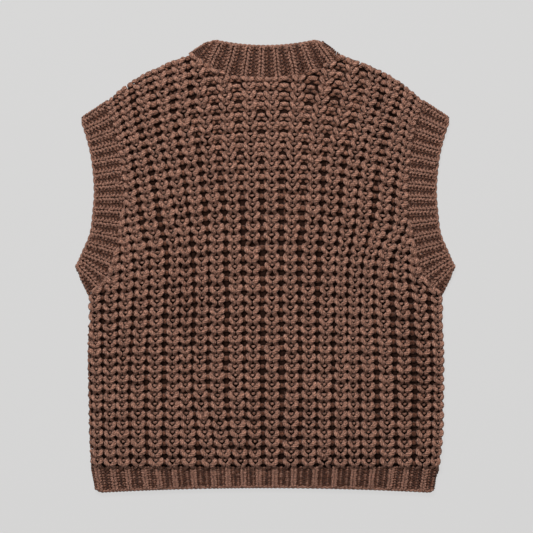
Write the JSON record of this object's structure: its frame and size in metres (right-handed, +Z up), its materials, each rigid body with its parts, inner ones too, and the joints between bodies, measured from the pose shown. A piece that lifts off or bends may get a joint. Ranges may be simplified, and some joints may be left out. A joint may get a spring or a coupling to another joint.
{
  "type": "knitted sweater vest",
  "caption": "Sleeveless chunky ribbed knit vest laid flat, back up, with a rib-banded crew neck, banded armholes and a hem rib.",
  "frame": {"origin": "under the middle of the outline, on the surface that the vest lies on", "axes": "+X to the right in the back view, +Y from the hem to the neck, +Z up from the surface"},
  "size_m": [0.518, 0.618, 0.0171],
  "materials": {
    "chunky_knit": "matte heathered wool-blend yarn, chunky ribbed knit",
    "rib_knit": "matte heathered wool-blend yarn, finer two-by-two rib"
  },
  "bodies": {
    "root": {"back_panel": "chunky_knit", "front_panel": "chunky_knit", "neck_rib": "rib_knit", "armhole_rib_left": "rib_knit", "armhole_rib_right": "rib_knit", "hem_rib_back": "rib_knit", "hem_rib_front": "rib_knit"}
  },
  "joints": []
}
